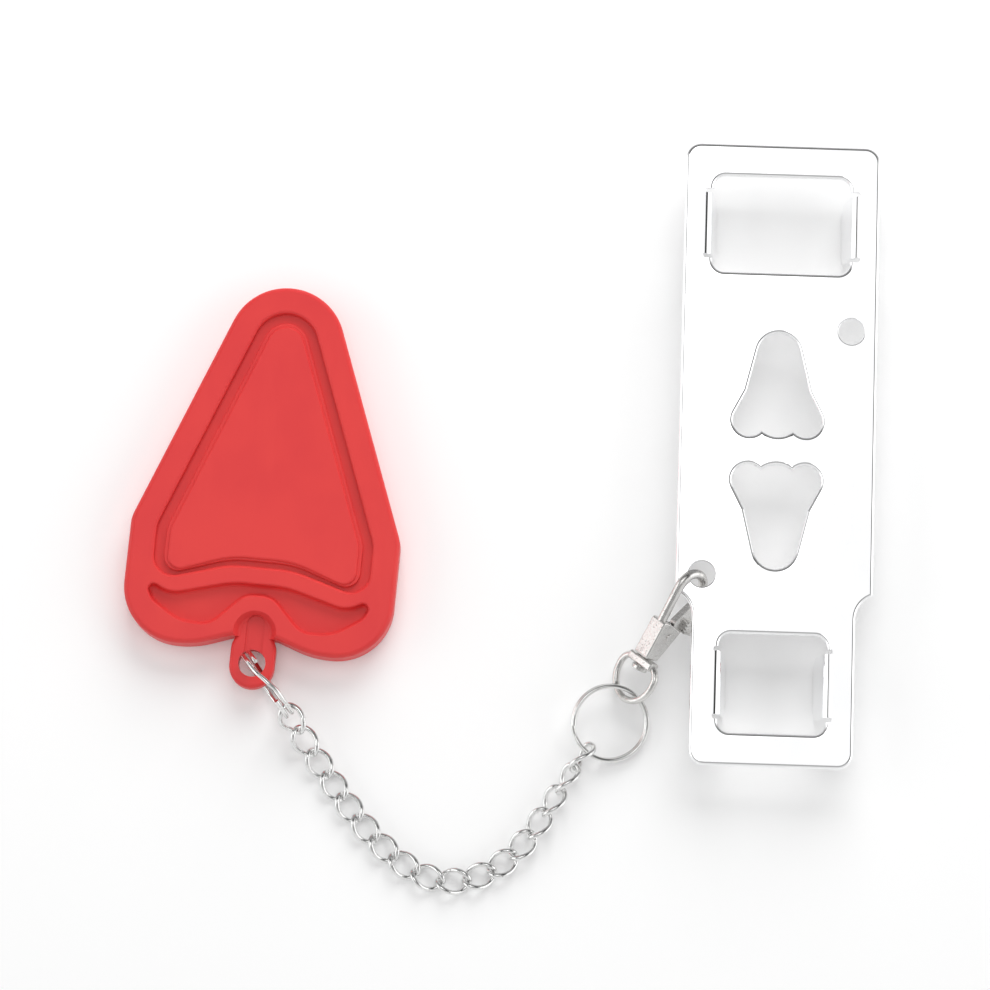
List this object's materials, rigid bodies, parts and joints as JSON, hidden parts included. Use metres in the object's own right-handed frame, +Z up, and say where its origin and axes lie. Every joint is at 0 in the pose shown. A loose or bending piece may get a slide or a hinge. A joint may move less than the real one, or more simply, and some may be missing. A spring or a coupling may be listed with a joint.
{
  "type": "portable door lock",
  "caption": "Portable door lock laid flat: a steel strike plate with claws and keyholes, tethered by snap hook, split rings and curb chain to a moulded wedge handle.",
  "frame": {"origin": "centre of the strike plate at the level of its claw tips, which is the table's surface", "axes": "+X across the strike plate, +Y along the strike plate, +Z up from the table"},
  "size_m": [0.1892, 0.1938, 0.02],
  "materials": {
    "polished_steel": "polished",
    "red_plastic": "fine satin",
    "cast_chrome": "plated",
    "spring_steel": "drawn wire",
    "ring_steel": "plated",
    "chain_steel": "plated"
  },
  "bodies": {
    "strike_plate": {"strike_plate": "polished_steel"},
    "snap_hook": {"hook_body": "cast_chrome", "swivel_rivet": "cast_chrome", "lever_pin": "cast_chrome", "lever_spring": "spring_steel"},
    "trigger_lever": {"trigger_lever": "cast_chrome"},
    "swivel_eye": {"swivel_eye": "cast_chrome"},
    "hook_ring": {"hook_ring": "ring_steel"},
    "chain_link_01": {"chain_link_01": "chain_steel"},
    "chain_link_02": {"chain_link_02": "chain_steel"},
    "chain_link_03": {"chain_link_03": "chain_steel"},
    "chain_link_04": {"chain_link_04": "chain_steel"},
    "chain_link_05": {"chain_link_05": "chain_steel"},
    "chain_link_06": {"chain_link_06": "chain_steel"},
    "chain_link_07": {"chain_link_07": "chain_steel"},
    "chain_link_08": {"chain_link_08": "chain_steel"},
    "chain_link_09": {"chain_link_09": "chain_steel"},
    "chain_link_10": {"chain_link_10": "chain_steel"},
    "chain_link_11": {"chain_link_11": "chain_steel"},
    "chain_link_12": {"chain_link_12": "chain_steel"},
    "chain_link_13": {"chain_link_13": "chain_steel"},
    "chain_link_14": {"chain_link_14": "chain_steel"},
    "chain_link_15": {"chain_link_15": "chain_steel"},
    "chain_link_16": {"chain_link_16": "chain_steel"},
    "chain_link_17": {"chain_link_17": "chain_steel"},
    "handle_ring": {"handle_ring": "ring_steel"},
    "wedge_handle": {"wedge_handle": "red_plastic"}
  },
  "joints": [
    {"name": "hook_swing", "type": "hinge", "parent": "strike_plate", "child": "snap_hook", "pos_m": [-0.0184, -0.0324, 0.01175], "axis": [0, 0, 1], "range_deg": [-40, 12]},
    {"name": "trigger_press", "type": "hinge", "parent": "snap_hook", "child": "trigger_lever", "pos_m": [-0.02746, -0.04675, 0.00859], "axis": [0.6014, -0.5143, 0.6113], "range_deg": [0, 11], "stiffness_Nm_per_rad": 0.004, "springref_deg": -20.05, "deforming": ["lever_spring"]},
    {"name": "eye_swivel", "type": "hinge", "parent": "snap_hook", "child": "swivel_eye", "pos_m": [-0.03184, -0.05249, 0.00806], "axis": [0.4169, 0.8548, 0.309], "continuous": true},
    {"name": "hook_ring_swing", "type": "hinge", "parent": "swivel_eye", "child": "hook_ring", "pos_m": [-0.0369, -0.06288, 0.00431], "axis": [0, 0, 1], "range_deg": [-15, 10]},
    {"name": "chain_link_01_swing", "type": "hinge", "parent": "hook_ring", "child": "chain_link_01", "pos_m": [-0.04596, -0.0767, 0.00345], "axis": [0, 0, 1], "range_deg": [-22, 22]},
    {"name": "chain_link_02_swing", "type": "hinge", "parent": "chain_link_01", "child": "chain_link_02", "pos_m": [-0.04899, -0.08087, 0.00354], "axis": [0, 0, -1], "range_deg": [-17, 22]},
    {"name": "chain_link_03_swing", "type": "hinge", "parent": "chain_link_02", "child": "chain_link_03", "pos_m": [-0.05245, -0.08663, 0.00337], "axis": [0, 0, 1], "range_deg": [-22, 22]},
    {"name": "chain_link_04_swing", "type": "hinge", "parent": "chain_link_03", "child": "chain_link_04", "pos_m": [-0.0558, -0.09243, 0.00293], "axis": [0, 0, -1], "range_deg": [-22, 22]},
    {"name": "chain_link_05_swing", "type": "hinge", "parent": "chain_link_04", "child": "chain_link_05", "pos_m": [-0.05935, -0.09812, 0.00245], "axis": [0, 0, 1], "range_deg": [-22, 22]},
    {"name": "chain_link_06_swing", "type": "hinge", "parent": "chain_link_05", "child": "chain_link_06", "pos_m": [-0.06357, -0.10333, 0.00203], "axis": [0, 0, -1], "range_deg": [-22, 19]},
    {"name": "chain_link_07_swing", "type": "hinge", "parent": "chain_link_06", "child": "chain_link_07", "pos_m": [-0.06886, -0.10746, 0.00171], "axis": [0, 0, 1], "range_deg": [-17, 22]},
    {"name": "chain_link_08_swing", "type": "hinge", "parent": "chain_link_07", "child": "chain_link_08", "pos_m": [-0.07505, -0.11009, 0.00171], "axis": [0, 0, -1], "range_deg": [-22, 13]},
    {"name": "chain_link_09_swing", "type": "hinge", "parent": "chain_link_08", "child": "chain_link_09", "pos_m": [-0.08175, -0.11056, 0.00171], "axis": [0, 0, 1], "range_deg": [-10, 22]},
    {"name": "chain_link_10_swing", "type": "hinge", "parent": "chain_link_09", "child": "chain_link_10", "pos_m": [-0.08814, -0.10848, 0.00171], "axis": [0, 0, -1], "range_deg": [-22, 16]},
    {"name": "chain_link_11_swing", "type": "hinge", "parent": "chain_link_10", "child": "chain_link_11", "pos_m": [-0.09371, -0.10472, 0.00171], "axis": [0, 0, 1], "range_deg": [-22, 22]},
    {"name": "chain_link_12_swing", "type": "hinge", "parent": "chain_link_11", "child": "chain_link_12", "pos_m": [-0.09871, -0.10023, 0.00171], "axis": [0, 0, -1], "range_deg": [-22, 22]},
    {"name": "chain_link_13_swing", "type": "hinge", "parent": "chain_link_12", "child": "chain_link_13", "pos_m": [-0.1032, -0.09523, 0.00171], "axis": [0, 0, 1], "range_deg": [-22, 22]},
    {"name": "chain_link_14_swing", "type": "hinge", "parent": "chain_link_13", "child": "chain_link_14", "pos_m": [-0.10734, -0.08994, 0.00171], "axis": [0, 0, -1], "range_deg": [-22, 22]},
    {"name": "chain_link_15_swing", "type": "hinge", "parent": "chain_link_14", "child": "chain_link_15", "pos_m": [-0.11129, -0.0845, 0.00171], "axis": [0, 0, 1], "range_deg": [-22, 22]},
    {"name": "chain_link_16_swing", "type": "hinge", "parent": "chain_link_15", "child": "chain_link_16", "pos_m": [-0.11522, -0.07909, 0.00242], "axis": [0, 0, -1], "range_deg": [-22, 22]},
    {"name": "chain_link_17_swing", "type": "hinge", "parent": "chain_link_16", "child": "chain_link_17", "pos_m": [-0.11887, -0.07369, 0.00404], "axis": [0, 0, 1], "range_deg": [-22, 22]},
    {"name": "handle_ring_swing", "type": "hinge", "parent": "chain_link_17", "child": "handle_ring", "pos_m": [-0.12139, -0.0698, 0.0063], "axis": [0, 0, -1], "range_deg": [-22, 18]},
    {"name": "wedge_swing", "type": "hinge", "parent": "handle_ring", "child": "wedge_handle", "pos_m": [-0.13113, -0.05734, 0.0047], "axis": [0, 0, 1], "range_deg": [-25, 50]}
  ]
}
